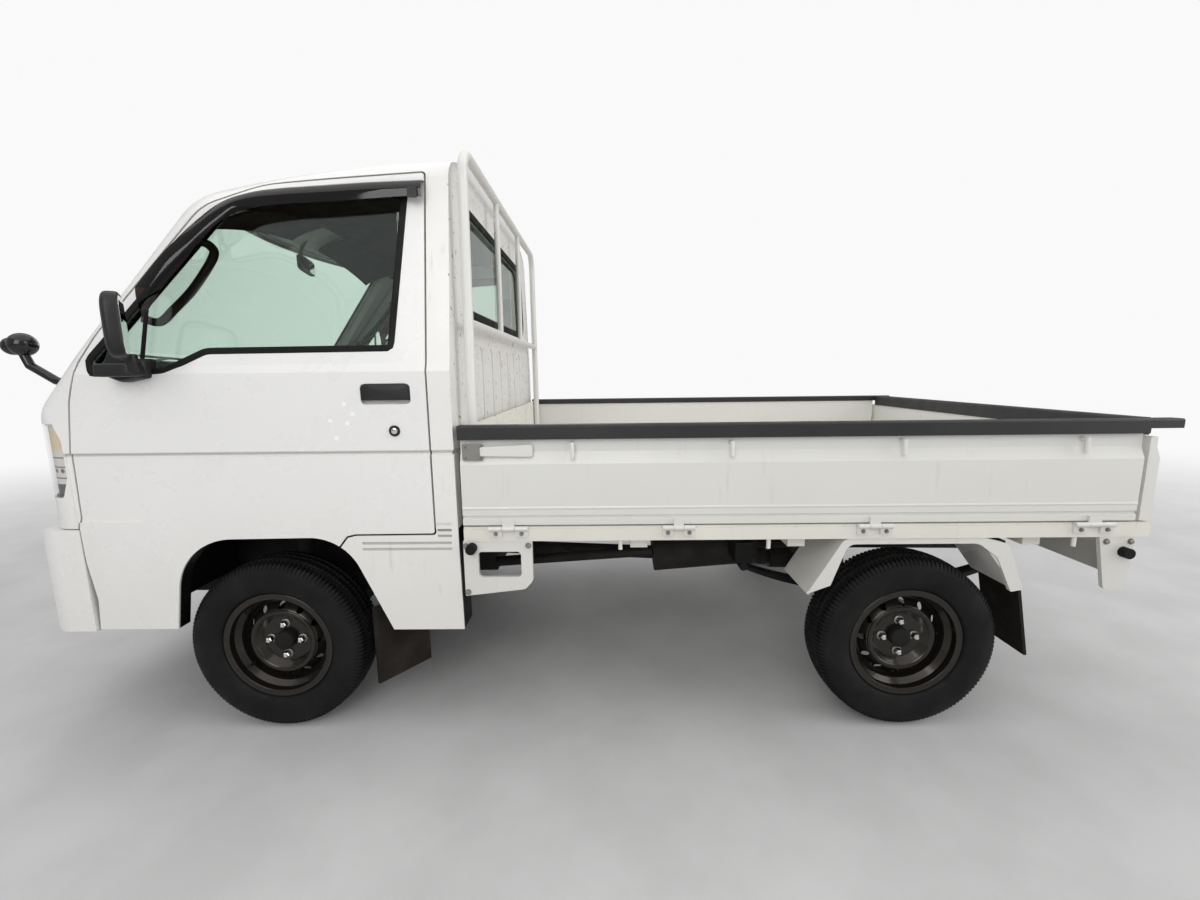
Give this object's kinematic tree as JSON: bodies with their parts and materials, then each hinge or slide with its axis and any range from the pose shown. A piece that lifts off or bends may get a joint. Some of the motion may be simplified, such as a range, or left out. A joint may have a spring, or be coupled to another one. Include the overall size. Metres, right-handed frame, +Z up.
{
  "type": "kei truck",
  "caption": "Small forward-control pickup truck with a two-seat cab, drop-sided load bed, guard frame, opening doors and gates, steering and rolling wheels.",
  "frame": {"origin": "on the ground under the middle of the bounding box", "axes": "+X forward, +Y to the truck's left, +Z up"},
  "size_m": [3.395, 1.8214, 1.7757],
  "materials": {
    "body_white": "white paint, worn",
    "bed_white": "white paint, worn",
    "chassis_black": "black paint, dusty",
    "cast": "cast, oily",
    "steel": "bare steel",
    "wheel_grey": "gun-metal paint",
    "tyre": "rubber",
    "rubber": "black rubber",
    "black_plastic": "black plastic",
    "gloss_black": "glossy black plastic",
    "trim_grey": "dark grey trim",
    "smoked": "smoked acrylic",
    "glass": "green-tinted glass",
    "lens": "clear lens",
    "red_lens": "red lens",
    "fabric": "grey seat cloth"
  },
  "bodies": {
    "truck": {"chassis_frame": "chassis_black", "front_suspension": "chassis_black", "rear_axle": "cast", "leaf_springs": "chassis_black", "propshaft": "steel", "engine_block": "cast", "fuel_tank": "chassis_black", "exhaust": "steel", "cab_back": "body_white", "cab_roof": "body_white", "cab_floor": "body_white", "front_panel": "body_white", "front_bumper": "body_white", "windscreen": "glass", "rear_window": "glass", "dashboard": "trim_grey", "seat_left": "fabric", "seat_right": "fabric", "cab_fittings": "trim_grey", "headlamps": "lens", "headlamp_housings": "trim_grey", "under_mirror": "gloss_black", "wipers": "black_plastic", "guard_frame": "bed_white", "bed_floor": "bed_white", "bed_brackets": "bed_white", "bed_hinges": "bed_white", "rear_panel": "bed_white", "tail_lamps": "red_lens", "rear_fenders": "bed_white", "mudflaps": "rubber", "gate_bumpers": "rubber"},
    "door_left": {"door_left": "body_white", "door_glass_left": "glass", "door_fittings_left": "black_plastic", "door_visor_left": "smoked"},
    "side_gate_left": {"side_gate_left": "bed_white", "gate_cover_left": "black_plastic"},
    "knuckle_left": {"knuckle_left": "cast"},
    "wheel_front_left": {"rim_front_left": "wheel_grey", "tyre_front_left": "tyre"},
    "wheel_rear_left": {"rim_rear_left": "wheel_grey", "tyre_rear_left": "tyre"},
    "door_right": {"door_right": "body_white", "door_glass_right": "glass", "door_fittings_right": "black_plastic", "door_visor_right": "smoked"},
    "side_gate_right": {"side_gate_right": "bed_white", "gate_cover_right": "black_plastic"},
    "knuckle_right": {"knuckle_right": "cast"},
    "wheel_front_right": {"rim_front_right": "wheel_grey", "tyre_front_right": "tyre"},
    "wheel_rear_right": {"rim_rear_right": "wheel_grey", "tyre_rear_right": "tyre"},
    "tailgate": {"tailgate": "bed_white", "tailgate_cover": "black_plastic"},
    "steering_wheel": {"steering_wheel": "black_plastic"}
  },
  "joints": [
    {"name": "door_left_hinge", "type": "hinge", "parent": "truck", "child": "door_left", "pos_m": [1.4725, 0.725, 0.9], "axis": [0, 0, -1], "range_deg": [0, 65]},
    {"name": "side_gate_left_hinge", "type": "hinge", "parent": "truck", "child": "side_gate_left", "pos_m": [-0.6605, 0.745, 0.643], "axis": [-1, 0, 0], "range_deg": [0, 170]},
    {"name": "steer_left", "type": "hinge", "parent": "truck", "child": "knuckle_left", "pos_m": [0.8825, 0.572, 0.166], "axis": [0, -0.1423, 0.9898], "range_deg": [-35, 35]},
    {"name": "roll_front_left", "type": "hinge", "parent": "knuckle_left", "child": "wheel_front_left", "pos_m": [0.8825, 0.6525, 0.268], "axis": [0, 1, 0], "continuous": true},
    {"name": "roll_rear_left", "type": "hinge", "parent": "truck", "child": "wheel_rear_left", "pos_m": [-1.0175, 0.6525, 0.268], "axis": [0, 1, 0], "continuous": true},
    {"name": "door_right_hinge", "type": "hinge", "parent": "truck", "child": "door_right", "pos_m": [1.4725, -0.725, 0.9], "axis": [0, 0, 1], "range_deg": [0, 65]},
    {"name": "side_gate_right_hinge", "type": "hinge", "parent": "truck", "child": "side_gate_right", "pos_m": [-0.6605, -0.745, 0.643], "axis": [1, 0, 0], "range_deg": [0, 170]},
    {"name": "steer_right", "type": "hinge", "parent": "truck", "child": "knuckle_right", "pos_m": [0.8825, -0.572, 0.166], "axis": [0, 0.1423, 0.9898], "range_deg": [-35, 35]},
    {"name": "roll_front_right", "type": "hinge", "parent": "knuckle_right", "child": "wheel_front_right", "pos_m": [0.8825, -0.6525, 0.268], "axis": [0, 1, 0], "continuous": true},
    {"name": "roll_rear_right", "type": "hinge", "parent": "truck", "child": "wheel_rear_right", "pos_m": [-1.0175, -0.6525, 0.268], "axis": [0, 1, 0], "continuous": true},
    {"name": "tailgate_hinge", "type": "hinge", "parent": "truck", "child": "tailgate", "pos_m": [-1.6625, 0, 0.643], "axis": [0, -1, 0], "range_deg": [0, 170]},
    {"name": "steering_wheel_turn", "type": "hinge", "parent": "truck", "child": "steering_wheel", "pos_m": [1.1325, -0.3, 1.01], "axis": [-0.6428, 0, 0.766], "range_deg": [-565, 565]}
  ],
  "couplings": [
    {"joint": "steer_right", "follows": "steer_left", "ratio": 1},
    {"joint": "steering_wheel_turn", "follows": "steer_left", "ratio": 16}
  ]
}
